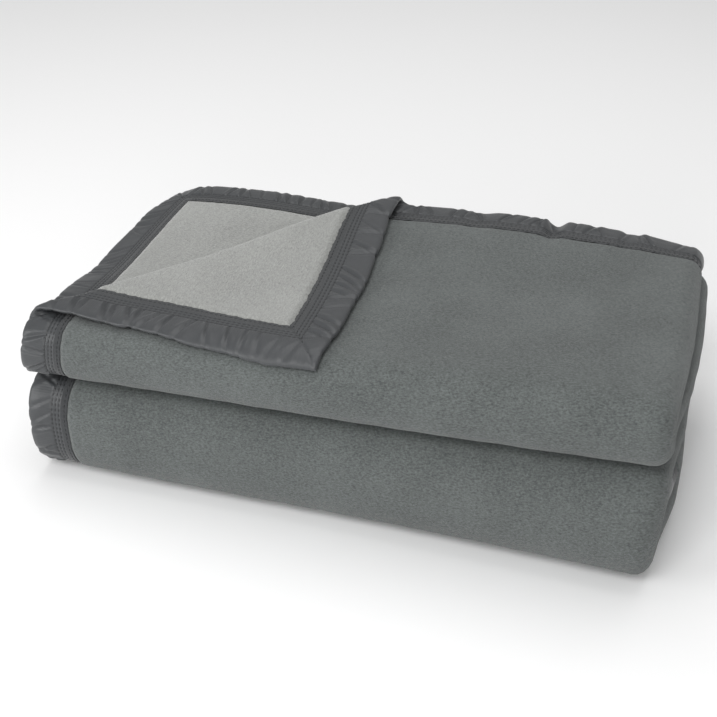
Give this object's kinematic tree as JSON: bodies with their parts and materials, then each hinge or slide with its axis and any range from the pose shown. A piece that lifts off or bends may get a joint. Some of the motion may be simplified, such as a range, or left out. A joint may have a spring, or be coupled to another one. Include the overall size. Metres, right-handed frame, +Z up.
{
  "type": "camp blanket",
  "caption": "Thick two-tone woollen camp blanket with ribbon-bound edges, folded into a flat stack with one top corner turned back.",
  "frame": {"origin": "middle of the folded stack's underside, on the surface that it rests on", "axes": "+X to the right along the folds, which is the longest side; -Y towards the front rolls; +Z up, through the stack"},
  "size_m": [0.605, 0.3521, 0.1915],
  "materials": {
    "dark_wool": "raised wool nap, dark grey",
    "light_wool": "raised wool nap, light grey",
    "satin_ribbon": "soft satin weave, charcoal grey",
    "sewing_thread": "matte spun thread"
  },
  "bodies": {
    "lower_half": {"cloth_base_back_fold": "dark_wool", "cloth_base_panel": "dark_wool", "cloth_lower_front_fold": "dark_wool", "cloth_lower_panel": "dark_wool", "cloth_tucked_panel": "dark_wool", "foot_ribbon": "satin_ribbon", "lower_roll_stitch_row_1": "sewing_thread", "lower_roll_stitch_row_2": "sewing_thread", "lower_roll_stitch_row_3": "sewing_thread", "lower_roll_stitch_row_4": "sewing_thread", "side_ribbon_a_base_back_fold": "satin_ribbon", "side_ribbon_a_base_panel": "satin_ribbon", "side_ribbon_a_lower_front_fold": "satin_ribbon", "side_ribbon_a_lower_panel": "satin_ribbon", "side_ribbon_a_tucked_panel": "satin_ribbon", "side_ribbon_b_base_back_fold": "satin_ribbon", "side_ribbon_b_base_panel": "satin_ribbon", "side_ribbon_b_lower_front_fold": "satin_ribbon", "side_ribbon_b_lower_panel": "satin_ribbon", "side_ribbon_b_tucked_panel": "satin_ribbon"},
    "corner": {"cloth_turned_corner": "light_wool", "side_ribbon_turned_corner": "satin_ribbon", "head_ribbon_turned_corner": "satin_ribbon", "turned_corner_stitch_row_1": "sewing_thread", "turned_corner_stitch_row_2": "sewing_thread", "turned_corner_stitch_row_3": "sewing_thread", "turned_corner_stitch_row_4": "sewing_thread"},
    "top_panel": {"cloth_top_panel": "dark_wool", "side_ribbon_b_top_panel": "satin_ribbon", "head_ribbon": "satin_ribbon", "cloth_corner_crease": "light_wool", "head_stitch_row_1": "sewing_thread", "head_stitch_row_2": "sewing_thread", "head_stitch_row_3": "sewing_thread", "head_stitch_row_4": "sewing_thread", "inner_corner_stitch_row_1": "sewing_thread", "inner_corner_stitch_row_2": "sewing_thread", "inner_corner_stitch_row_3": "sewing_thread", "inner_corner_stitch_row_4": "sewing_thread", "cloth_upper_front_fold": "dark_wool", "side_ribbon_a_upper_front_fold": "satin_ribbon", "side_ribbon_b_upper_front_fold": "satin_ribbon", "upper_roll_stitch_row_1": "sewing_thread", "upper_roll_stitch_row_2": "sewing_thread", "upper_roll_stitch_row_3": "sewing_thread", "upper_roll_stitch_row_4": "sewing_thread"},
    "middle_panel": {"cloth_middle_panel": "dark_wool", "side_ribbon_a_middle_panel": "satin_ribbon", "side_ribbon_b_middle_panel": "satin_ribbon", "cloth_back_fold": "dark_wool", "side_ribbon_a_back_fold": "satin_ribbon", "side_ribbon_b_back_fold": "satin_ribbon"}
  },
  "joints": [
    {"name": "open_upper_half", "type": "hinge", "parent": "lower_half", "child": "middle_panel", "pos_m": [0, 0.1411, 0.1092], "axis": [-1, 0, 0], "range_deg": [0, 120], "deforming": ["cloth_back_fold", "side_ribbon_a_back_fold", "side_ribbon_b_back_fold"]},
    {"name": "open_top_panel", "type": "hinge", "parent": "middle_panel", "child": "top_panel", "pos_m": [0, -0.1397, 0.146], "axis": [1, 0, 0], "range_deg": [0, 78], "deforming": ["cloth_upper_front_fold", "side_ribbon_a_upper_front_fold", "side_ribbon_b_upper_front_fold", "upper_roll_stitch_row_1", "upper_roll_stitch_row_2", "upper_roll_stitch_row_3", "upper_roll_stitch_row_4"]},
    {"name": "turn_corner", "type": "hinge", "parent": "top_panel", "child": "corner", "pos_m": [-0.3025, -0.158, 0.1828], "axis": [-0.7071, -0.7071, 0], "range_deg": [0, 178], "deforming": ["cloth_corner_crease"]}
  ]
}
